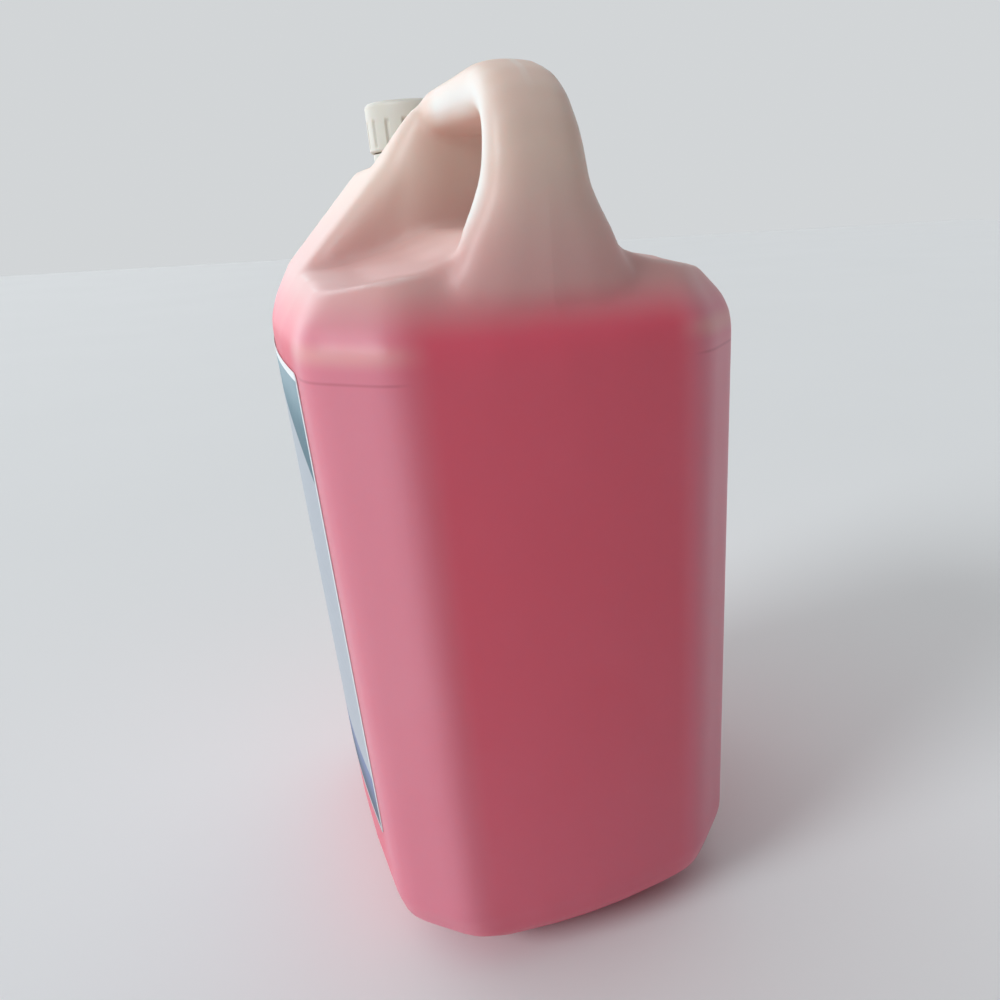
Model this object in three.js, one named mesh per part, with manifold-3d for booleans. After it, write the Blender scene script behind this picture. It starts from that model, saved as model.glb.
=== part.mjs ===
// Five litre hand soap refill can: a blow-moulded, translucent jerry can with a hollow handle, part filled
// with pink soap, closed by a ribbed screw cap. Millimetres, +Z up, origin under the middle of the base.
// +X is the handle end, -X the neck end, and the label is on the -Y face.

import * as THREE from 'three';
import * as BufferGeometryUtils from 'three/addons/utils/BufferGeometryUtils.js';
import Module from 'manifold-3d';

const wasm = await Module();
wasm.setup();

const GAP = 0.3; // clearance between neighbouring pieces

// Body
const LENGTH = 180; // between the two narrow faces, at their edges
const WIDTH = 131; // between the two wide faces, at their edges
const CORNER_CUT = 21; // legs of the cut upright corners
const EDGE_ROUND = 7; // length that the rounding takes from each side of an upright edge
const PANEL_BOW = 2.8; // how far each face bows out at its middle
const BOW_LIMIT = 0.04; // most that a side may bow, as a part of its length
const WALL = 1.2;
const BASE_RADIUS = 27;
const BASE_CORNER = 1; // how much the corner cuts grow for each millimetre that the base rounds in
const CUT_LIMIT = 0.8; // most of an outline's half width that a corner cut may take
const PUSH_UP = 3; // the middle of the base is raised, so that the can stands on a ring
const RING_WIDTH = 9;
const WALL_TOP = 218; // where the upright walls turn into the shoulder
const WALL_ROUND = 5;
const WALL_TURN = [0, 0.06, 0.3]; // part of the way to the deck's edge, through the wall's rounding

// Shoulder deck, the floor of the two hand recesses
const DECK_EDGE = WALL_TOP + 12.5;
const DECK_SIDE_INSET = 8.5;
const DECK_REAR_INSET = 12;
const DECK_CORNER = [16, 17]; // legs of its rear corner cuts, along X and along Y
const DECK_FRONT_RISE = 3; // how much higher its side edges lie at the front block than at the rear
const DECK_REAR_RISE = 3.5; // how much higher its rear edge lies than the ends of its side edges
const DECK_TOP = DECK_EDGE + 13.5; // of the lip along the finger hole
const DECK_TOP_HALF = 16;
const DECK_HOLLOW = 1.8; // power of the deck's rise: over 1 hollows it

// Front block, which carries the neck and the front end of the handle
const PLATFORM = DECK_TOP + 20;
const PLATFORM_HALF = 26.5;
const PLATFORM_ROUND = 3;
const BLOCK_ROOT = 3; // how far the block's foot is set into the body
const BLOCK_TOP = PLATFORM + 14;
const BLOCK_TOP_HALF = 16.5;
const BLOCK_TOP_LENGTH = 12;
const BLOCK_REAR = LENGTH / 2 - 75; // front wall of the finger hole
const BLOCK_REAR_HALF = [18.5, 14.5]; // of the finger hole's front wall, at the deck and at the top
const BLOCK_SWEEP = 7; // how much the recess walls fall back towards the wide faces
const BLOCK_FRONT_LEAN = 10;

// Handle
const HANDLE_HALF = 11;
const BAR_SPREAD = 3.5; // growth of the half width along the bar, towards the front block
const BAR_HEIGHT = 15;
const HANDLE_TOP = BLOCK_TOP + 7;
const BAR_FRONT = BLOCK_REAR - 22; // where the bar's front slope would meet its top
const BAR_FALL = 1.5; // of the bar's top, from the bend to the front block
const POST_REAR = LENGTH / 2 - 3; // outer face of the rear post
const POST_THICK = 17.5;
const OUTER_BEND = 34; // length that the bend takes from the outer line of the bar and of the post
const INNER_BEND = 10; // the same for the line round the finger hole
const POST_TAPER = 7; // growth of the half width down the post
const TAPER_RATE = 2.2; // over 1 ends the taper above the foot
const FLARE = 24; // further growth at the post's foot
const FLARE_POWER = 3;
const FLARE_FORWARD = 0.25; // part of the flare that the foot also grows towards the finger hole
const HANDLE_FOOT = WALL_TOP + 2;
const HANDLE_ROOT = 4; // how far the bar's front end is set into the front block
const HANDLE_SQUARE = 0.7; // power that draws the handle's oval section towards a rectangle
const FOOT_SQUARE = 1; // the same at the foot, which stays oval

// Neck and closure
const NECK_X = 39 - LENGTH / 2;
const NECK_RADIUS = 17.6;
const NECK_WALL = 2;
const NECK_BORE = NECK_RADIUS - NECK_WALL;
const NECK_TOP = PLATFORM + 17.9;
const NECK_ROOT = 4; // how far the neck is set into the front block
const BEAD_RADIUS = NECK_RADIUS + 0.8;
const BEAD_TOP = PLATFORM + 2;
const RING_HEIGHT = 2.9;
const RING_THICK = 2;
const LINER_THICK = 1.2;
const THREAD_ROOM = 1.3; // between the neck and the cap's bore
const CAP_WALL = 2.1;
const CAP_ROOF = 1.8;
const CAP_BORE = NECK_RADIUS + THREAD_ROOM;
const CAP_RADIUS = CAP_BORE + CAP_WALL;
const CAP_BOTTOM = BEAD_TOP + RING_HEIGHT + 2 * GAP;
const CAP_CEILING = NECK_TOP + LINER_THICK + 2 * GAP;
const CAP_TOP = CAP_CEILING + CAP_ROOF;
const CAP_ROUND = 2.5;
const RIB_COUNT = 18;
const RIB_TOP = CAP_TOP - 5.5;
const GROOVE_WIDTH = 1.4;
const GROOVE_DEPTH = 0.7;
const EDGE_BREAK = 0.5; // bevel of the small edges of the neck and the tamper ring

// Contents and label
const SOAP_LEVEL = WALL_TOP + 10;
const LABEL_MARGIN = 5; // from the label's ends to those of the flat face
const LABEL_BOTTOM = BASE_RADIUS + 21;
const LABEL_TOP = WALL_TOP - 8;
const LABEL_THICK = 0.2;

// Resolution
const ROUND_SEGMENTS = 36;
const LABEL_STEPS = 12;
const WELD = 1e-4; // points closer than this are one point

// The skins of the bottle and of its filling: how far each is set in from the outside, and its steps round an
// upright edge, along a face, round the base, up the deck, round the handle, and along the handle's slope,
// bar, bend and post.
const OUTSIDE = { inset: 0, edge: 3, face: 4, base: 4, deck: 3, round: 16, along: [3, 3, 6, 6] };
const INSIDE = { inset: WALL, edge: 2, face: 2, base: 3, deck: 3, round: 10, along: [2, 2, 4, 5] };
const FILLING = { ...INSIDE, inset: WALL + 2 * GAP };

// Solids

function solid(geometry) {
  const bare = geometry.clone();
  bare.deleteAttribute('normal');
  bare.deleteAttribute('uv');
  const merged = BufferGeometryUtils.mergeVertices(bare, WELD);
  return new wasm.Manifold(new wasm.Mesh({
    numProp: 3,
    vertProperties: Float32Array.from(merged.attributes.position.array),
    triVerts: Uint32Array.from(merged.index.array),
  }));
}

function geometryOf(manifold) {
  const mesh = manifold.getMesh();
  const geometry = new THREE.BufferGeometry();
  geometry.setAttribute('position', new THREE.BufferAttribute(mesh.vertProperties, 3));
  geometry.setIndex(new THREE.BufferAttribute(mesh.triVerts, 1));
  geometry.computeVertexNormals();
  return geometry;
}

// A closed skin over rings of equally many points, each ring closed by a fan about its middle.
function loft(rings) {
  const count = rings[0].length;
  const points = rings.flat();
  const index = [];
  for (let r = 0; r + 1 < rings.length; r++) {
    for (let i = 0; i < count; i++) {
      const a = r * count + i;
      const b = r * count + (i + 1) % count;
      index.push(a, b, b + count, a, b + count, a + count);
    }
  }
  for (const r of [0, rings.length - 1]) {
    const middle = rings[r].reduce((sum, p) => sum.add(p), new THREE.Vector3()).divideScalar(count);
    points.push(middle);
    for (let i = 0; i < count; i++) {
      const a = r * count + i;
      const b = r * count + (i + 1) % count;
      index.push(...(r === 0 ? [b, a, points.length - 1] : [a, b, points.length - 1]));
    }
  }
  const geometry = new THREE.BufferGeometry();
  geometry.setFromPoints(points);
  geometry.setIndex(index);
  return geometry;
}

function revolve(profile) {
  const points = profile.map(([r, z]) => new THREE.Vector2(r, z));
  return new THREE.LatheGeometry(points, ROUND_SEGMENTS).rotateX(Math.PI / 2);
}

// The point at a distance from one corner towards another, but no further than a third of the way.
function towards(corner, other, distance) {
  const way = other.clone().sub(corner);
  return corner.clone().addScaledVector(way.normalize(), Math.min(distance, corner.distanceTo(other) / 3));
}

// A level ring: an eight-sided outline with cut and rounded corners and bowed faces.
// frontCut and rearCut are the legs of the corner cuts, along X and along Y.
function levelRing({ front, rear, half, frontCut, rearCut, bow = 0 }, z, skin) {
  const corners = [
    [rear, -half + rearCut[1]], [rear, half - rearCut[1]],
    [rear - rearCut[0], half], [front + frontCut[0], half],
    [front, half - frontCut[1]], [front, -half + frontCut[1]],
    [front + frontCut[0], -half], [rear - rearCut[0], -half],
  ].map(([x, y]) => new THREE.Vector2(x, y));
  const ring = [];
  for (let i = 0; i < 8; i++) {
    const corner = corners[i];
    const next = corners[(i + 1) % 8];
    const before = corners[(i + 7) % 8];
    const start = towards(corner, before, EDGE_ROUND);
    const end = towards(corner, next, EDGE_ROUND);
    const arc = new THREE.QuadraticBezierCurve(start, corner, end);
    ring.push(...arc.getPoints(skin.edge));
    if (i % 2 === 0) {
      const far = towards(next, corner, EDGE_ROUND);
      const outward = new THREE.Vector2(next.y - corner.y, corner.x - next.x).normalize();
      const lift = Math.min(bow, BOW_LIMIT * end.distanceTo(far));
      for (let s = 1; s < skin.face; s++) {
        const t = s / skin.face;
        ring.push(end.clone().lerp(far, t).addScaledVector(outward, lift * 4 * t * (1 - t)));
      }
    }
  }
  return ring.map((p) => new THREE.Vector3(p.x, p.y, z));
}

// Bottle

// The walls' outline, set in by a distance, with its corner cuts grown by a further length.
function wallOutline(inset, growth = 0) {
  const half = WIDTH / 2 - inset;
  const cut = Math.min(CORNER_CUT + growth - inset * (2 - Math.SQRT2), half * CUT_LIMIT);
  return {
    front: -LENGTH / 2 + inset,
    rear: LENGTH / 2 - inset,
    half,
    frontCut: [cut, cut],
    rearCut: [cut, cut],
    bow: PANEL_BOW,
  };
}

function mixRings(a, b, t, z) {
  return a.map((p, i) => p.clone().lerp(b[i], t).setZ(z));
}

// The deck's edge, where the shoulder ends. It rises towards the front block and at the rear corner cuts.
function deckEdge(skin) {
  const { inset } = skin;
  const half = WIDTH / 2 - DECK_SIDE_INSET - inset;
  const rear = LENGTH / 2 - DECK_REAR_INSET - inset;
  const ring = levelRing({
    front: -LENGTH / 2 + DECK_SIDE_INSET + inset,
    rear,
    half,
    frontCut: [CORNER_CUT, CORNER_CUT],
    rearCut: DECK_CORNER,
  }, DECK_EDGE - inset / 2, skin);
  for (const p of ring) {
    const forward = (rear - DECK_CORNER[0] - p.x) / (rear - DECK_CORNER[0] - BLOCK_REAR);
    p.z += DECK_FRONT_RISE * THREE.MathUtils.clamp(forward, 0, 1);
    if (p.x > 0) {
      p.z += DECK_REAR_RISE * THREE.MathUtils.clamp((half - Math.abs(p.y)) / DECK_CORNER[1], 0, 1);
    }
  }
  return ring;
}

// Rings of the body's skin, from the middle of the base up into the shoulder.
function bodyRings(skin) {
  const { inset } = skin;
  const radius = BASE_RADIUS - inset;
  const base = (setIn, z) => {
    const growth = BASE_CORNER * Math.min(setIn, radius);
    return levelRing(wallOutline(inset + setIn, growth), inset + z, skin);
  };
  const rings = [
    base(BASE_RADIUS + RING_WIDTH + 2 * PUSH_UP, PUSH_UP),
    base(BASE_RADIUS + RING_WIDTH, 0),
  ];
  for (let s = 0; s <= skin.base; s++) {
    const angle = s / skin.base * Math.PI / 2;
    rings.push(base(radius * (1 - Math.sin(angle)), radius * (1 - Math.cos(angle))));
  }
  const wall = levelRing(wallOutline(inset), 0, skin);
  const deck = deckEdge(skin);
  WALL_TURN.forEach((turn, i) => rings.push(mixRings(wall, deck, turn, WALL_TOP + (i - 1) * WALL_ROUND)));
  return rings;
}

function bodySolid(skin) {
  const edge = deckEdge(skin);
  const rings = [...bodyRings(skin), edge];
  for (let s = 1; s <= skin.deck; s++) {
    const t = s / skin.deck;
    rings.push(edge.map(({ x, y, z }) => new THREE.Vector3(
      THREE.MathUtils.lerp(x, Math.max(x, NECK_X), t),
      y * THREE.MathUtils.lerp(1, DECK_TOP_HALF / (WIDTH / 2 - DECK_SIDE_INSET), t),
      THREE.MathUtils.lerp(z, DECK_TOP - skin.inset, t ** DECK_HOLLOW),
    )));
  }
  return solid(loft(rings));
}

// The front block: gabled sides, a level platform for the neck, then a ridge rising to the handle.
function blockSolid(skin) {
  const { inset } = skin;
  const edge = DECK_EDGE + DECK_FRONT_RISE;
  const edgeHalf = WIDTH / 2 - DECK_SIDE_INSET;
  const edgeFront = -LENGTH / 2 + DECK_SIDE_INSET;
  const ring = (front, z, height = z) => {
    const half = height > PLATFORM ? BLOCK_TOP_HALF
      : THREE.MathUtils.mapLinear(height, edge, PLATFORM, edgeHalf, PLATFORM_HALF);
    const cut = CORNER_CUT * half / edgeHalf;
    const rearHalf = THREE.MathUtils.mapLinear(height, DECK_TOP, BLOCK_TOP, ...BLOCK_REAR_HALF);
    return levelRing({
      front: front + inset,
      rear: BLOCK_REAR - inset,
      half: half - inset * Math.SQRT2,
      frontCut: [cut, cut],
      rearCut: [BLOCK_SWEEP, half - rearHalf],
    }, z - inset, skin);
  };
  return solid(loft([
    ring(edgeFront + BLOCK_ROOT, WALL_TOP + WALL_ROUND, edge + BLOCK_ROOT),
    ring(edgeFront, edge),
    ring(edgeFront + BLOCK_FRONT_LEAN - PLATFORM_ROUND / 2, PLATFORM - PLATFORM_ROUND),
    ring(edgeFront + BLOCK_FRONT_LEAN, PLATFORM),
    ring(NECK_X + CAP_RADIUS, PLATFORM),
    ring(BLOCK_REAR - BLOCK_TOP_LENGTH, BLOCK_TOP),
  ]));
}

// The handle: rounded rings between an outer and an inner line, out of the front block, over the bend and
// down the post into the body.
function handleSolid(skin) {
  const { inset } = skin;
  const at = (x, z) => new THREE.Vector3(x, 0, z);
  const bow = (...points) => new THREE.QuadraticBezierCurve3(...points);
  const line = (...points) => new THREE.LineCurve3(...points);
  const start = NECK_X + CAP_RADIUS + HANDLE_ROOT;
  const barTop = HANDLE_TOP - BAR_FALL;
  const bendStart = POST_REAR - OUTER_BEND;
  const bendEnd = HANDLE_TOP - OUTER_BEND;
  const holeTop = HANDLE_TOP - BAR_HEIGHT;
  const holeRear = POST_REAR - POST_THICK;
  const holeBend = holeRear - INNER_BEND;
  const holeBendEnd = holeTop - INNER_BEND;
  const outer = [
    bow(at(start, PLATFORM - HANDLE_ROOT), at(BAR_FRONT, barTop), at(BLOCK_REAR, barTop)),
    line(at(BLOCK_REAR, barTop), at(bendStart, HANDLE_TOP)),
    bow(at(bendStart, HANDLE_TOP), at(POST_REAR, HANDLE_TOP), at(POST_REAR, bendEnd)),
    line(at(POST_REAR, bendEnd), at(POST_REAR, HANDLE_FOOT)),
  ];
  const inner = [
    bow(at(start, PLATFORM - BAR_HEIGHT), at(BAR_FRONT, holeTop), at(BLOCK_REAR, holeTop)),
    line(at(BLOCK_REAR, holeTop), at(holeBend, holeTop)),
    bow(at(holeBend, holeTop), at(holeRear, holeTop), at(holeRear, holeBendEnd)),
    line(at(holeRear, holeBendEnd), at(holeRear, HANDLE_FOOT)),
  ];
  const rings = [];
  for (const [part, steps] of skin.along.entries()) {
    for (let s = part === 0 ? 0 : 1; s <= steps; s++) {
      const low = inner[part].getPoint(s / steps);
      const high = outer[part].getPoint(s / steps);
      const down = part < 2 ? 0 : (holeTop - low.z) / (holeTop - HANDLE_FOOT);
      const flare = FLARE * down ** FLARE_POWER;
      low.x -= flare * FLARE_FORWARD;
      const spread = BAR_SPREAD * THREE.MathUtils.clamp((holeBend - low.x) / (holeBend - BLOCK_REAR), 0, 1);
      const taper = POST_TAPER * Math.min(TAPER_RATE * down, 1);
      const wide = HANDLE_HALF + spread + taper + flare - inset;
      const power = THREE.MathUtils.lerp(HANDLE_SQUARE, FOOT_SQUARE, down ** 2);
      const outward = high.clone().sub(low).normalize();
      const deep = high.distanceTo(low) / 2 - inset;
      const middle = high.add(low).multiplyScalar(0.5);
      const ring = [];
      for (let i = 0; i < skin.round; i++) {
        const turn = i / skin.round * Math.PI * 2;
        const point = middle.clone().addScaledVector(outward, squared(Math.sin(turn), power) * deep);
        ring.push(point.setY(squared(Math.cos(turn), power) * wide));
      }
      rings.push(ring);
    }
  }
  return solid(loft(rings));
}

// Raises a sine or cosine to a power under 1, which turns an ellipse into a rounded rectangle.
function squared(value, power) {
  return Math.sign(value) * Math.abs(value) ** power;
}

function neckSolid() {
  const root = PLATFORM - NECK_ROOT;
  return solid(revolve([
    [0, root], [BEAD_RADIUS, root], [BEAD_RADIUS, BEAD_TOP - EDGE_BREAK],
    [BEAD_RADIUS - EDGE_BREAK, BEAD_TOP], [NECK_RADIUS, BEAD_TOP],
    [NECK_RADIUS, NECK_TOP - EDGE_BREAK], [NECK_RADIUS - EDGE_BREAK, NECK_TOP], [0, NECK_TOP],
  ]).translate(NECK_X, 0, 0));
}

function boreSolid() {
  const low = PLATFORM - NECK_ROOT - WALL;
  const high = NECK_TOP + WALL;
  return solid(revolve([[0, low], [NECK_BORE, low], [NECK_BORE, high], [0, high]]).translate(NECK_X, 0, 0));
}

function bottle() {
  const moulding = (skin) => bodySolid(skin).add(blockSolid(skin)).add(handleSolid(skin));
  const outside = moulding(OUTSIDE).add(neckSolid());
  const inside = moulding(INSIDE).add(boreSolid());
  return geometryOf(outside.subtract(inside));
}

// Contents

function soap() {
  const rings = bodyRings(FILLING);
  const below = rings.at(-1);
  const edge = deckEdge(FILLING);
  rings.push(below.map((p, i) => p.clone().lerp(edge[i], (SOAP_LEVEL - p.z) / (edge[i].z - p.z))));
  return loft(rings);
}

// Closure

function screwCap() {
  const bevel = (1 - Math.SQRT1_2) * CAP_ROUND;
  let cap = solid(revolve([
    [0, CAP_CEILING], [CAP_BORE, CAP_CEILING], [CAP_BORE, CAP_BOTTOM], [CAP_RADIUS, CAP_BOTTOM],
    [CAP_RADIUS, CAP_TOP - CAP_ROUND], [CAP_RADIUS - bevel, CAP_TOP - bevel],
    [CAP_RADIUS - CAP_ROUND, CAP_TOP], [0, CAP_TOP],
  ]));
  const low = CAP_BOTTOM - GAP;
  for (let i = 0; i < RIB_COUNT; i++) {
    const groove = new THREE.BoxGeometry(2 * GROOVE_DEPTH, GROOVE_WIDTH, RIB_TOP - low);
    groove.translate(CAP_RADIUS, 0, (RIB_TOP + low) / 2);
    groove.rotateZ(i / RIB_COUNT * Math.PI * 2);
    cap = cap.subtract(solid(groove));
  }
  return geometryOf(cap);
}

function capLiner() {
  const low = NECK_TOP + GAP;
  const radius = CAP_BORE - GAP;
  return revolve([[0, low], [radius, low], [radius, low + LINER_THICK], [0, low + LINER_THICK]]);
}

function tamperRing() {
  const low = BEAD_TOP + GAP;
  const high = low + RING_HEIGHT;
  const inner = NECK_RADIUS + GAP;
  const outer = inner + RING_THICK;
  const bevelled = outer - EDGE_BREAK;
  return revolve([
    [inner, low], [bevelled, low], [outer, low + EDGE_BREAK], [outer, high - EDGE_BREAK],
    [bevelled, high], [inner, high], [inner, low],
  ]);
}

// Label, a thin sheet that follows the bow of the -Y face

function frontLabel() {
  const flat = LENGTH / 2 - CORNER_CUT - EDGE_ROUND;
  const face = (x) => -WIDTH / 2 - PANEL_BOW * (1 - (x / flat) ** 2);
  const sheet = new THREE.Shape();
  const half = flat - LABEL_MARGIN;
  const across = (s) => THREE.MathUtils.lerp(-half, half, s / LABEL_STEPS);
  const point = (s, off) => [across(s), face(across(s)) - off];
  sheet.moveTo(...point(0, GAP));
  for (let s = 1; s <= LABEL_STEPS; s++) {
    sheet.lineTo(...point(s, GAP));
  }
  for (let s = LABEL_STEPS; s >= 0; s--) {
    sheet.lineTo(...point(s, GAP + LABEL_THICK));
  }
  return new THREE.ExtrudeGeometry(sheet, { depth: LABEL_TOP - LABEL_BOTTOM, bevelEnabled: false })
    .translate(0, 0, LABEL_BOTTOM);
}

// Assembly

const pack = new THREE.Group();

function piece(name, geometry, colour, roughness) {
  const material = new THREE.MeshStandardMaterial({ color: colour, roughness, metalness: 0 });
  const mesh = new THREE.Mesh(geometry, material);
  mesh.name = name;
  return mesh;
}

pack.add(piece('bottle', bottle(), 0xe8ddd6, 0.4));
pack.add(piece('soap', soap(), 0xc8506a, 0.3));
pack.add(piece('front_label', frontLabel(), 0xdcdfe6, 0.5));

const closure = new THREE.Group();
closure.position.set(NECK_X, 0, 0);
closure.add(piece('screw_cap', screwCap(), 0xe6e3da, 0.5));
closure.add(piece('cap_liner', capLiner(), 0xf2f0ea, 0.8));
closure.add(piece('tamper_ring', tamperRing(), 0xe6e3da, 0.5));
pack.add(closure);

export default pack;
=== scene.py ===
import math

import bmesh
import bpy
import numpy as np
from mathutils import Matrix, Vector


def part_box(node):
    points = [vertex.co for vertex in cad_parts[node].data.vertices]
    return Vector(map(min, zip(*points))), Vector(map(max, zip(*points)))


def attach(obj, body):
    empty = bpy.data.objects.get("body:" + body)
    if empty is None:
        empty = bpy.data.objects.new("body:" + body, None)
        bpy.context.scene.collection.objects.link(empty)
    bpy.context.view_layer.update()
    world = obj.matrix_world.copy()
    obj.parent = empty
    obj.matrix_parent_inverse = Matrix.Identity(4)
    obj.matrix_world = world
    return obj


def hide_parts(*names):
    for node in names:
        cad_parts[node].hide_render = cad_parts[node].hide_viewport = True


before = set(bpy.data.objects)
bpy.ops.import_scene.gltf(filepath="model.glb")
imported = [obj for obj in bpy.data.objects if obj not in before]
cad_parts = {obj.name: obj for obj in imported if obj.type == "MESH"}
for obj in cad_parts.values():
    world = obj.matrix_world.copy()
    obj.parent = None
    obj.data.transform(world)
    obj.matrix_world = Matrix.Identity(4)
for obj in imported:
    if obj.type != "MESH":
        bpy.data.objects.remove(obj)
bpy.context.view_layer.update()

# Sizes in metres, as in the can's drawing
BODY_HALF = Vector((0.090, 0.0655))  # of the walls, along X and Y
FACE_HALF = 0.062  # half the length of a wide face between its rounded edges
END_HALF = 0.0375  # the same for a narrow face
FACE_BOW = 0.0028
FACE_BOTTOM, FACE_TOP = 0.030, 0.211  # the bowed part of the faces
FACE_FADE = 0.010  # the height in which the correction to the bow fades out at each end
SHOULDER_EDGE = 0.2165
WITNESS_LINE = 0.2095  # across the cut corners, where two parts of the mould meet
HOLE_REAR = 0.0695  # the finger hole's rear edge, at the post
HOLE_TOP = 0.270  # its upper edge, under the bar
HOLE_BEND = 0.010  # the radius between them
HANDLE_TOP = 0.285
PLATFORM = 0.264
SOAP_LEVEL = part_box("soap")[1].z
WALL_GRAIN = 0.0015  # the finest mesh of the moulding

NECK_X = sum(c.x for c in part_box("screw_cap")) / 2
NECK_FOOT = PLATFORM - 0.004  # where the bore opens into the can
NECK_DEPTH = 0.0061  # under the platform, a little deeper than the drawing's neck goes
NECK_RADIUS = 0.0176
NECK_BORE = 0.0156
NECK_TOP = 0.2819
BEAD_RADIUS = 0.0184
BEAD_TOP = 0.2660
THREAD_PITCH = 0.0042
THREAD_START = 0.2706
THREAD_TURNS = 2.35
THREAD_HEIGHT = 0.0009
THREAD_HALF = 0.22  # half the ridge's width, as a part of the pitch
THREAD_FLANK = 1.6  # over 1 flattens the ridge's crest
THREAD_FADE = 0.5  # turns in which the thread runs out at each end

CAP_BORE = 0.0189
LINER_ROOM = 0.0018  # between the neck's lip and the cap's ceiling
CAP_ROUND = 0.0024
SKIRT_HEIGHT = 0.0120
RIB_COUNT = 18
GROOVE_HALF = 0.00105
GROOVE_DEPTH = 0.0008
GROOVE_SLOPE = 0.0004  # the width of the slope at a groove's sides and foot, doubled at its head
GROOVE_LOW, GROOVE_HIGH = 0.0012, 0.0104  # over the cap's lower edge
BAND_BORE = 0.0179
BRIDGE_COUNT = 12
BRIDGE_HEIGHT = 0.0002
BRIDGE_HALF = 0.03  # half a bridge's width, as a part of their spacing

LABEL_THICK = 0.0002
LABEL_GLUE = 0.00006
LABEL_CORNER = 0.003
LABEL_BORDER = 0.0022
PRINT_EDGE = 0.0002  # the softness of a printed edge
HEADER_EDGE = 0.1945  # at the middle of the label
FOOTER_EDGE = 0.0685
RULE_PITCH = 0.0064  # of the pale field's faint rules


# Finishes

class Wire:
    """What a node's output socket gives. Sums on a number add Math nodes."""

    def __init__(self, finish, socket):
        self.finish = finish
        self.socket = socket

    def sum(self, operation, *values):
        return self.finish.add("Math", {"operation": operation}, dict(enumerate(values)))

    def __add__(self, other):
        return self.sum("ADD", self, other)

    def __sub__(self, other):
        return self.sum("SUBTRACT", self, other)

    def __rsub__(self, other):
        return self.sum("SUBTRACT", other, self)

    def __mul__(self, other):
        return self.sum("MULTIPLY", self, other)

    def __truediv__(self, other):
        return self.sum("DIVIDE", self, other)

    def __abs__(self):
        return self.sum("ABSOLUTE", self)

    __radd__ = __add__
    __rmul__ = __mul__

    def least(self, other):
        return self.sum("MINIMUM", self, other)

    def most(self, other):
        return self.sum("MAXIMUM", self, other)

    def root(self):
        return self.sum("SQRT", self)

    def rise(self, low, high):
        """0 up to low, 1 from high on, with a soft change between them. low may be the larger."""
        if low > high:
            return 1 - self.rise(high, low)
        ends = {"Value": self, "From Min": low, "From Max": high}
        return self.finish.add("MapRange", {"interpolation_type": "SMOOTHSTEP"}, ends)

    def near(self, middle, width):
        """1 at middle, falling to 0 at width on either side."""
        return abs(self - middle).rise(width, 0)


class Nodes:
    """A node tree, and the ways of adding to it."""

    def __init__(self, owner):
        owner.use_nodes = True
        self.tree = owner.node_tree

    def plug(self, socket, value):
        if isinstance(value, Wire):
            self.tree.links.new(value.socket, socket)
        elif hasattr(value, "__len__") and socket.type == "RGBA":
            socket.default_value = (*value, 1)
        else:
            socket.default_value = value

    def add(self, kind, settings, values, output=0):
        node = self.tree.nodes.new("ShaderNode" + kind)
        for name, value in settings.items():
            setattr(node, name, value)
        for name, value in values.items():
            self.plug(node.inputs[name], value)
        return Wire(self, node.outputs[output])

    def place(self):
        """The three coordinates of a point, in the can's frame at rest."""
        spot = self.add("TexCoord", {}, {}, "Object")
        return [self.add("SeparateXYZ", {}, {0: spot}, axis) for axis in "XYZ"]

    def grain(self, size, detail=2, stretch=(1, 1, 1)):
        """Noise round 0.5, in marks of about the given size."""
        spot = self.add("TexCoord", {}, {}, "Object")
        spot = self.add("Mapping", {}, {"Vector": spot, "Scale": stretch})
        return self.add("TexNoise", {}, {"Vector": spot, "Scale": 1 / size, "Detail": detail}, "Fac")

    def blend(self, share, first, second):
        settings = {"data_type": "RGBA"}
        return self.add("Mix", settings, {0: share, 6: first, 7: second}, 2)


class Finish(Nodes):
    """A material, made from one shader and the nodes in front of it."""

    def __init__(self, name, **constants):
        self.material = bpy.data.materials.new(name)
        super().__init__(self.material)
        self.shader = self.tree.nodes["Principled BSDF"]
        for socket, value in constants.items():
            self.shader.inputs[socket.replace("_", " ")].default_value = value

    def emboss(self, height, distance, strength=1):
        values = {"Height": height, "Distance": distance, "Strength": strength}
        return self.add("Bump", {}, values)

    def feed(self, **wires):
        for socket, wire in wires.items():
            self.plug(self.shader.inputs[socket.replace("_", " ")], wire)
        return self.material


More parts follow.
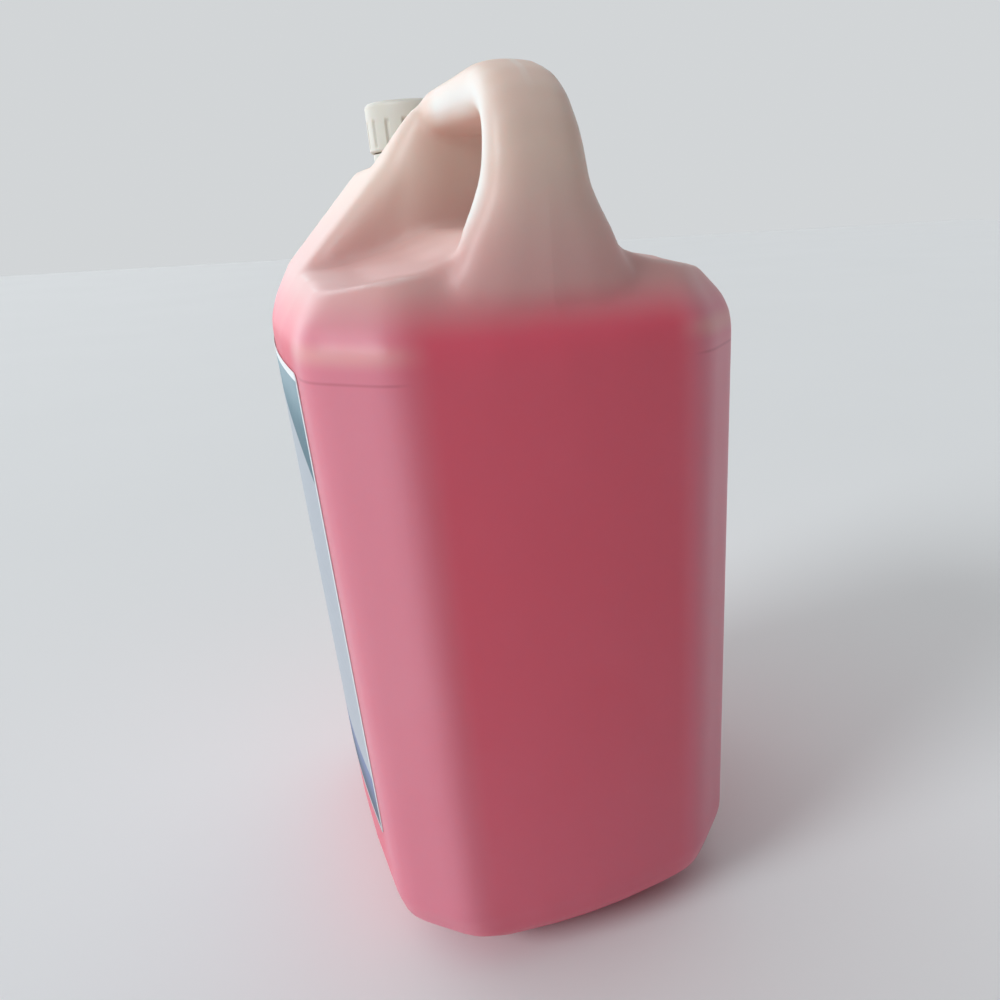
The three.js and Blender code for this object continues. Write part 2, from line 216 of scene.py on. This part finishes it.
def can_wall():
    """Natural polyethylene: milky above the soap, and coloured by it below."""
    finish = Finish("can_wall", Subsurface_Weight=0.4, Subsurface_Scale=0.012,
                    Subsurface_Radius=(1.0, 0.35, 0.3), IOR=1.5)
    x, y, z = finish.place()
    cloud = finish.grain(0.05, 3)
    # the soap looks deepest behind the middle of a face and palest behind the upright edges
    corner = (abs(x) / BODY_HALF.x).least(abs(y) / BODY_HALF.y)
    pale = corner.rise(0.5, 0.74)
    red = finish.blend(pale, (0.79, 0.104, 0.162), (0.79, 0.250, 0.325))
    red = finish.blend(z.rise(0.13, 0.0) * 0.4, red, (0.76, 0.21, 0.30))
    # along the shoulder edge at the cut corners: paler where the wall is thicker, and partly a painted
    # highlight
    red = finish.blend(z.near(SHOULDER_EDGE, 0.0045) * pale * 0.45, red, (0.86, 0.50, 0.43))
    red = finish.blend(cloud.rise(0.35, 0.75) * 0.18, red, (0.78, 0.16, 0.235))
    milk = finish.blend(cloud.rise(0.3, 0.7), (0.78, 0.595, 0.505), (0.83, 0.635, 0.535))
    # painted glow: the milky wall just above the soap is tinted pink as if lit through by the soap
    glow = z.rise(SOAP_LEVEL + 0.038, SOAP_LEVEL - 0.004)
    milk = finish.blend(glow * 0.85, milk, (0.72, 0.34, 0.34))
    # painted highlight: convex moulded edges are painted paler than the flat wall beside them
    rim = finish.add("NewGeometry", {}, {}, "Pointiness").rise(0.511, 0.535)
    milk = finish.blend(rim * 0.5, milk, (0.80, 0.78, 0.74))
    # round the finger hole the two walls are pinched together; the pale band along the rim is a painted
    # highlight
    aside = (x - (HOLE_REAR - HOLE_BEND)).most(0)
    above = (z - (HOLE_TOP - HOLE_BEND)).most(0)
    off = (aside * aside + above * above).root() - HOLE_BEND
    hole_rim_highlight = off.near(0.0070, 0.0065) * abs(y).rise(0.003, 0.008)
    hole_rim_highlight = hole_rim_highlight * x.rise(0.018, 0.03) * z.rise(0.238, 0.250)
    milk = finish.blend(hole_rim_highlight * 0.9, milk, (0.80, 0.80, 0.76))
    parting = abs(y).rise(0.0016, 0.0004) * z.rise(HANDLE_TOP - 0.011, HANDLE_TOP - 0.002)
    milk = finish.blend(parting * 0.4, milk, (0.86, 0.80, 0.73))
    # painted highlight on the convex edges of the shoulder at the cut corners
    red = finish.blend(rim * pale * z.rise(0.195, 0.218) * 0.4, red, (0.88, 0.62, 0.57))
    witness = z.near(WITNESS_LINE, 0.0007) * corner.rise(0.6, 0.7)
    red = finish.blend(witness * 0.35, red, (0.45, 0.08, 0.12))
    level = z + (finish.grain(0.02) - 0.5) * 0.002
    colour = finish.blend(level.rise(SOAP_LEVEL - 0.010, SOAP_LEVEL + 0.005), red, milk)
    fine = finish.grain(0.0006, 1)
    wave = finish.grain(0.025, 1)
    seam = abs(y).rise(0.0006, 0.0001)
    normal = finish.emboss(fine * 0.03 + wave + seam * 0.012, 0.0006, 0.5)
    rough = 0.34 + cloud * 0.12 + fine * 0.04
    return finish.feed(Base_Color=colour, Roughness=rough, Normal=normal)


def soap_liquid():
    finish = Finish("soap_liquid", Subsurface_Weight=0.6, Subsurface_Scale=0.02,
                    Subsurface_Radius=(1.0, 0.25, 0.25), IOR=1.36)
    cloud = finish.grain(0.06, 3)
    colour = finish.blend(cloud, (0.60, 0.07, 0.12), (0.68, 0.10, 0.16))
    return finish.feed(Base_Color=colour, Roughness=0.12 + cloud * 0.08)


def cap_plastic():
    """Off-white cap plastic with a faint moulding grain."""
    finish = Finish("cap_plastic", Subsurface_Weight=0.1, Subsurface_Scale=0.002)
    cloud = finish.grain(0.012, 3)
    fine = finish.grain(0.0005, 1)
    colour = finish.blend(cloud, (0.72, 0.685, 0.605), (0.77, 0.735, 0.655))
    normal = finish.emboss(fine + cloud * 2, 0.0001, 0.4)
    return finish.feed(Base_Color=colour, Roughness=0.36 + fine * 0.14, Normal=normal)


def liner_foam():
    finish = Finish("liner_foam")
    cells = finish.grain(0.0008, 2)
    colour = finish.blend(cells, (0.78, 0.77, 0.74), (0.86, 0.85, 0.82))
    return finish.feed(Base_Color=colour, Roughness=0.7 + cells * 0.2, Normal=finish.emboss(cells, 0.0002))


def label_film(low, high):
    """Printed film: plain fields of colour inside a white border."""
    finish = Finish("label_film")
    x, _, z = finish.place()
    inside = 1
    for place, first, last in ((x, low.x, high.x), (z, low.z, high.z)):
        first += LABEL_BORDER
        last -= LABEL_BORDER
        inside = place.rise(first, first + PRINT_EDGE) * place.rise(last, last - PRINT_EDGE) * inside
    # the header's lower edge sweeps down towards the handle end, and the footer's upper edge sweeps up
    sweep = x / high.x
    header = (z + sweep * 0.012 + sweep * sweep * 0.006).rise(HEADER_EDGE, HEADER_EDGE + 0.0005)
    footer = (z - sweep * 0.003).rise(FOOTER_EDGE, FOOTER_EDGE - 0.0005)
    ripple = finish.grain(0.03, 2)
    field = finish.blend(ripple, (0.44, 0.48, 0.54), (0.49, 0.53, 0.58))
    fold = finish.add("Math", {"operation": "PINGPONG"}, {0: z, 1: RULE_PITCH / 2})
    rules = fold.rise(0.0024, 0.0027) * z.rise(0.080, 0.082) * z.rise(0.150, 0.148)
    rules = rules * abs(x).rise(0.046, 0.044)
    field = finish.blend(rules * 0.30, field, (0.40, 0.45, 0.54))
    teal = finish.blend(z.rise(0.18, 0.21), (0.06, 0.15, 0.20), (0.12, 0.24, 0.30))
    blue = finish.blend(z.rise(0.05, 0.07), (0.05, 0.12, 0.19), (0.17, 0.23, 0.42))
    colour = finish.blend(header, field, teal)
    colour = finish.blend(footer, colour, blue)
    colour = finish.blend(inside, (0.76, 0.78, 0.80), colour)
    fine = finish.grain(0.0007, 1)
    normal = finish.emboss(ripple + fine * 0.05, 0.0005, 0.4)
    return finish.feed(Base_Color=colour, Roughness=0.42 + ripple * 0.12, Normal=normal)


def floor_paper():
    finish = Finish("floor_paper")
    cloud = finish.grain(0.4, 2)
    colour = finish.blend(cloud, (0.84, 0.84, 0.84), (0.87, 0.87, 0.87))
    return finish.feed(Base_Color=colour, Roughness=0.8)


# Pieces

def piece(name, mesh, material, body, slot, *nodes):
    thing = bpy.data.objects.new(name, mesh)
    bpy.context.scene.collection.objects.link(thing)
    mesh.materials.clear()
    mesh.materials.append(material)
    mesh.shade_smooth()
    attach(thing, body)
    if nodes:
        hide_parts(*nodes)


def clamped(share):
    """The share, kept from 0 to 1."""
    return min(1.0, max(0.0, share))


def settled(mesh, *modifiers):
    """The mesh with modifiers applied."""
    holder = bpy.data.objects.new("holder", mesh)
    bpy.context.scene.collection.objects.link(holder)
    for kind, settings in modifiers:
        modifier = holder.modifiers.new(kind.lower(), kind)
        for name, value in settings.items():
            setattr(modifier, name, value)
    graph = bpy.context.evaluated_depsgraph_get()
    done = bpy.data.meshes.new_from_object(holder.evaluated_get(graph))
    bpy.data.objects.remove(holder)
    return done


def turned(profile, steps, shape=None):
    """A closed ring of material about the neck's axis. profile holds radius and height, round its section,
    and shape may move a point of it by its place in the profile and its angle."""
    bm = bmesh.new()
    rings = []
    for s in range(steps):
        angle = 2 * math.pi * s / steps
        ring = []
        for i, (radius, height) in enumerate(profile):
            if shape:
                radius, height = shape(i, radius, height, angle)
            ring.append(bm.verts.new((NECK_X + radius * math.cos(angle), radius * math.sin(angle), height)))
        rings.append(ring)
    for s, ring in enumerate(rings):
        following = rings[(s + 1) % steps]
        for i in range(len(profile)):
            j = (i + 1) % len(profile)
            bm.faces.new((ring[i], following[i], following[j], ring[j]))
    bmesh.ops.remove_doubles(bm, verts=bm.verts[:], dist=1e-7)
    bmesh.ops.recalc_face_normals(bm, faces=bm.faces[:])
    mesh = bpy.data.meshes.new("turned")
    bm.to_mesh(mesh)
    bm.free()
    return mesh


def fillet(points, radius, steps=4):
    """A run of radius and height points with its inner corners rounded."""
    points = [Vector(p) for p in points]
    out = [points[0]]
    for before, corner, after in zip(points, points[1:], points[2:]):
        start = corner + (before - corner).normalized() * min(radius, (before - corner).length / 2.1)
        end = corner + (after - corner).normalized() * min(radius, (after - corner).length / 2.1)
        for s in range(steps + 1):
            t = s / steps
            out.append(start * (1 - t) ** 2 + corner * 2 * t * (1 - t) + end * t * t)
    return [tuple(p) for p in out + [points[-1]]]


def outer_skin():
    """The can's outer skin, closed over where its neck stands."""
    bm = bmesh.new()
    bm.from_mesh(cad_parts["bottle"].data)
    bmesh.ops.remove_doubles(bm, verts=bm.verts[:], dist=1e-6)
    axis = Vector((NECK_X, 0))

    def on_neck(vert):
        return vert.co.z > PLATFORM - NECK_DEPTH and (vert.co.xy - axis).length < BEAD_RADIUS + 0.0002

    neck = [f for f in bm.faces if all(on_neck(v) for v in f.verts)]
    bmesh.ops.delete(bm, geom=neck, context="FACES")
    lowest = min(bm.verts, key=lambda v: v.co.z)
    skin, waiting = {lowest}, [lowest]
    while waiting:
        for edge in waiting.pop().link_edges:
            for vert in edge.verts:
                if vert not in skin:
                    skin.add(vert)
                    waiting.append(vert)
    bmesh.ops.delete(bm, geom=[v for v in bm.verts if v not in skin], context="VERTS")
    bmesh.ops.holes_fill(bm, edges=[e for e in bm.edges if e.is_boundary])
    bmesh.ops.triangulate(bm, faces=bm.faces[:])
    mesh = bpy.data.meshes.new("can_moulding")
    bm.to_mesh(mesh)
    bm.free()
    return mesh


def lay_on_bow(mesh):
    """Moves the points of the four upright faces on to their bow, less and less towards a face's edges."""
    near_face = 0.0006
    points = np.empty(len(mesh.vertices) * 3)
    mesh.vertices.foreach_get("co", points)
    points = points.reshape(-1, 3)
    ends = np.minimum(points[:, 2] - FACE_BOTTOM, FACE_TOP - points[:, 2]) / FACE_FADE
    for axis, flat in ((0, END_HALF), (1, FACE_HALF)):
        bulge = 1 - (points[:, 1 - axis] / flat) ** 2
        off = BODY_HALF[axis] + FACE_BOW * bulge - abs(points[:, axis])
        share = np.clip(np.minimum(bulge * 8, ends), 0, 1) * (abs(off) < near_face)
        points[:, axis] += np.sign(points[:, axis]) * off * share
    mesh.vertices.foreach_set("co", points.ravel())


def open_mouth(mesh):
    """Takes away the skin under the neck's bore."""
    bm = bmesh.new()
    bm.from_mesh(mesh)
    axis = Vector((NECK_X, 0))
    mouth = [v for v in bm.verts if v.co.z > NECK_FOOT and (v.co.xy - axis).length < NECK_BORE - 0.0004]
    bmesh.ops.delete(bm, geom=mouth, context="VERTS")
    bm.to_mesh(mesh)
    bm.free()


def can_moulding():
    """The moulding without its neck, with its joins eased as in a blown wall."""
    mesh = settled(
        outer_skin(),
        ("REMESH", {"mode": "VOXEL", "voxel_size": WALL_GRAIN}),
        ("SMOOTH", {"factor": 0.5, "iterations": 9}),
    )
    lay_on_bow(mesh)
    open_mouth(mesh)
    return mesh


def neck_finish():
    """The threaded neck: a bead at its foot, a run of thread and a rounded lip round the bore."""
    bead = [(BEAD_RADIUS, PLATFORM - 0.002), (BEAD_RADIUS, BEAD_TOP), (NECK_RADIUS, BEAD_TOP)]
    run = [(NECK_RADIUS, h) for h in np.linspace(BEAD_TOP + 0.0004, NECK_TOP - 0.0013, 48)]
    lip = [(NECK_RADIUS, NECK_TOP - 0.001), (NECK_RADIUS, NECK_TOP), (NECK_BORE, NECK_TOP)]
    lip += [(NECK_BORE, NECK_FOOT)]
    bead, lip = fillet(bead, 0.0004), fillet(lip, 0.0006)

    def thread(i, radius, height, angle):
        if len(bead) <= i < len(bead) + len(run):
            turn = (height - THREAD_START) / THREAD_PITCH - angle / (2 * math.pi)
            ridge = clamped((1 - abs(turn % 1 - 0.5) / THREAD_HALF) * THREAD_FLANK)
            ends = clamped(turn / THREAD_FADE) * clamped((THREAD_TURNS - turn) / THREAD_FADE)
            radius += THREAD_HEIGHT * ridge * ends
        return radius, height

    return turned(bead + run + lip, 96, thread)


def screw_cap():
    """The cap: a plain rounded crown over broad ribs parted by narrow grooves."""
    low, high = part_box("screw_cap")
    bottom, top = low.z, high.z
    radius = (high.x - low.x) / 2
    ceiling = NECK_TOP + LINER_ROOM
    lower_edge = 0.0005
    inside = [(0.0, ceiling), (CAP_BORE, ceiling), (CAP_BORE, bottom), (radius - lower_edge, bottom)]
    skirt = [(radius, h) for h in np.linspace(bottom + lower_edge, bottom + SKIRT_HEIGHT - 0.0002, 24)]
    crown = fillet([(radius, bottom + SKIRT_HEIGHT), (radius, top), (0.004, top)], CAP_ROUND, 8)

    def groove(i, r, height, angle):
        if len(inside) <= i < len(inside) + len(skirt):
            off = abs((angle * RIB_COUNT / (2 * math.pi)) % 1 - 0.5) * 2 * math.pi / RIB_COUNT * radius
            depth = clamped((GROOVE_HALF - off) / GROOVE_SLOPE)
            depth *= clamped((bottom + GROOVE_HIGH - height) / (2 * GROOVE_SLOPE))
            depth *= clamped((height - bottom - GROOVE_LOW) / GROOVE_SLOPE)
            r -= GROOVE_DEPTH * depth
        return r, height

    return turned(inside + skirt + crown + [(0.0, top)], RIB_COUNT * 24, groove)


def tamper_ring():
    """The plain band left under the cap, with the short bridges that break when it is first opened."""
    low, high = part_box("tamper_ring")
    outer, middle = (high.x - low.x) / 2, (low.z + high.z) / 2
    section = fillet([
        (BAND_BORE, middle), (BAND_BORE, low.z), (outer, low.z), (outer, high.z), (BAND_BORE, high.z),
        (BAND_BORE, middle),
    ], 0.0005)

    def bridge(i, radius, height, angle):
        off = abs((angle * BRIDGE_COUNT / (2 * math.pi)) % 1 - 0.5)
        if height > high.z - 1e-5 and off < BRIDGE_HALF:
            height += BRIDGE_HEIGHT
        return radius, height

    return turned(section[:-1], 192, bridge)


def front_label():
    """The label: a thin sheet with rounded corners on the bowed face."""
    low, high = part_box("front_label")
    turn = [LABEL_CORNER * (1 - math.cos(math.pi / 2 * s / 6)) for s in range(7)]
    columns = [low.x + t for t in turn]
    columns += list(np.linspace(low.x + LABEL_CORNER, high.x - LABEL_CORNER, 34)[1:-1])
    columns += [high.x - t for t in reversed(turn)]
    wide, tall = len(columns), 9
    bm = bmesh.new()
    sides = []
    for off in (LABEL_GLUE, LABEL_GLUE + LABEL_THICK):
        grid = []
        for x in columns:
            inward = max(0.0, LABEL_CORNER - min(x - low.x, high.x - x))
            cut = LABEL_CORNER - math.sqrt(max(0.0, LABEL_CORNER ** 2 - inward ** 2))
            y = -BODY_HALF.y - FACE_BOW * (1 - (x / FACE_HALF) ** 2) - off
            grid.append([bm.verts.new((x, y, z)) for z in np.linspace(low.z + cut, high.z - cut, tall)])
        sides.append(grid)
    back, front = sides
    for a in range(wide - 1):
        for b in range(tall - 1):
            for grid in sides:
                bm.faces.new((grid[a][b], grid[a + 1][b], grid[a + 1][b + 1], grid[a][b + 1]))
    rim = [(a, 0) for a in range(wide)] + [(wide - 1, b) for b in range(1, tall)]
    rim += [(a, tall - 1) for a in range(wide - 2, -1, -1)] + [(0, b) for b in range(tall - 2, 0, -1)]
    for (a, b), (c, d) in zip(rim, rim[1:] + rim[:1]):
        bm.faces.new((back[a][b], back[c][d], front[c][d], front[a][b]))
    bmesh.ops.recalc_face_normals(bm, faces=bm.faces[:])
    mesh = bpy.data.meshes.new("front_label")
    bm.to_mesh(mesh)
    bm.free()
    return mesh


wall = can_wall()
white = cap_plastic()
piece("can_moulding", can_moulding(), wall, "can", "natural_polyethylene", "bottle")
piece("neck_finish", neck_finish(), wall, "can", "natural_polyethylene")
piece("cap", screw_cap(), white, "cap", "white_plastic", "screw_cap")
piece("band", tamper_ring(), white, "can", "white_plastic", "tamper_ring")
piece("label", front_label(), label_film(*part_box("front_label")), "can", "label_film", "front_label")
for node, material in (("soap", soap_liquid()), ("cap_liner", liner_foam())):
    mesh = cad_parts[node].data
    mesh.materials.clear()
    mesh.materials.append(material)


# Studio

def floor_sheet():
    bm = bmesh.new()
    bmesh.ops.create_grid(bm, x_segments=1, y_segments=1, size=6)
    mesh = bpy.data.meshes.new("floor")
    bm.to_mesh(mesh)
    bm.free()
    mesh.materials.append(floor_paper())
    floor = bpy.data.objects.new("floor", mesh)
    bpy.context.scene.collection.objects.link(floor)


def sky():
    """Light from one broad side, before a backdrop that is even all round."""
    world = bpy.data.worlds.new("studio")
    bpy.context.scene.world = world
    nodes = Nodes(world)
    way = nodes.add("TexCoord", {}, {}, "Generated")
    towards_window = Vector((-0.9, -0.3, 0.3)).normalized()
    facing = nodes.add("VectorMath", {"operation": "DOT_PRODUCT"}, {0: way, 1: towards_window}, "Value")
    fill = 0.09 + facing.rise(-0.4, 0.35) * 0.63
    kinds = ("Camera", "Glossy", "Transmission")
    rays = [nodes.add("LightPath", {}, {}, f"Is {kind} Ray") for kind in kinds]
    seen = rays[0].most(rays[1]).most(rays[2])
    backdrop = 0.68
    light = nodes.tree.nodes["Background"]
    nodes.plug(light.inputs["Color"], (0.95, 0.98, 1.0))
    nodes.plug(light.inputs["Strength"], seen * backdrop + (1 - seen) * fill)


def lamp(name, energy, spread, way):
    sun = bpy.data.lights.new(name, "SUN")
    sun.energy = energy
    sun.angle = math.radians(spread)
    sun.color = (0.90, 0.96, 1.0)
    thing = bpy.data.objects.new(name, sun)
    thing.rotation_mode = "QUATERNION"
    thing.rotation_quaternion = Vector(way).to_track_quat("-Z", "Y")
    bpy.context.scene.collection.objects.link(thing)


def photo_camera():
    """The photograph's place, angle and off-centre crop."""
    turn, tilt, roll = (math.radians(a) for a in (68.62, 24.90, -2.48))
    back = Vector((math.sin(turn) * math.cos(tilt), -math.cos(turn) * math.cos(tilt), math.sin(tilt)))
    lens = bpy.data.cameras.new("photo_camera")
    lens.sensor_width = 36
    lens.lens = 29.86
    lens.shift_x, lens.shift_y = -0.103, 0.09
    lens.clip_start = 0.01
    camera = bpy.data.objects.new("photo_camera", lens)
    basis = back.to_track_quat("Z", "Y").to_matrix() @ Matrix.Rotation(roll, 3, "Z")
    camera.matrix_world = Matrix.Translation((0.3037, -0.0748, 0.2489)) @ basis.to_4x4()
    bpy.context.scene.collection.objects.link(camera)
    bpy.context.scene.camera = camera


floor_sheet()
sky()
lamp("key", 1.45, 25, (-0.22, 1, -0.55))
lamp("window", 0.65, 45, (1, 0.4, -0.3))
photo_camera()
bpy.context.scene.view_settings.view_transform = "Standard"
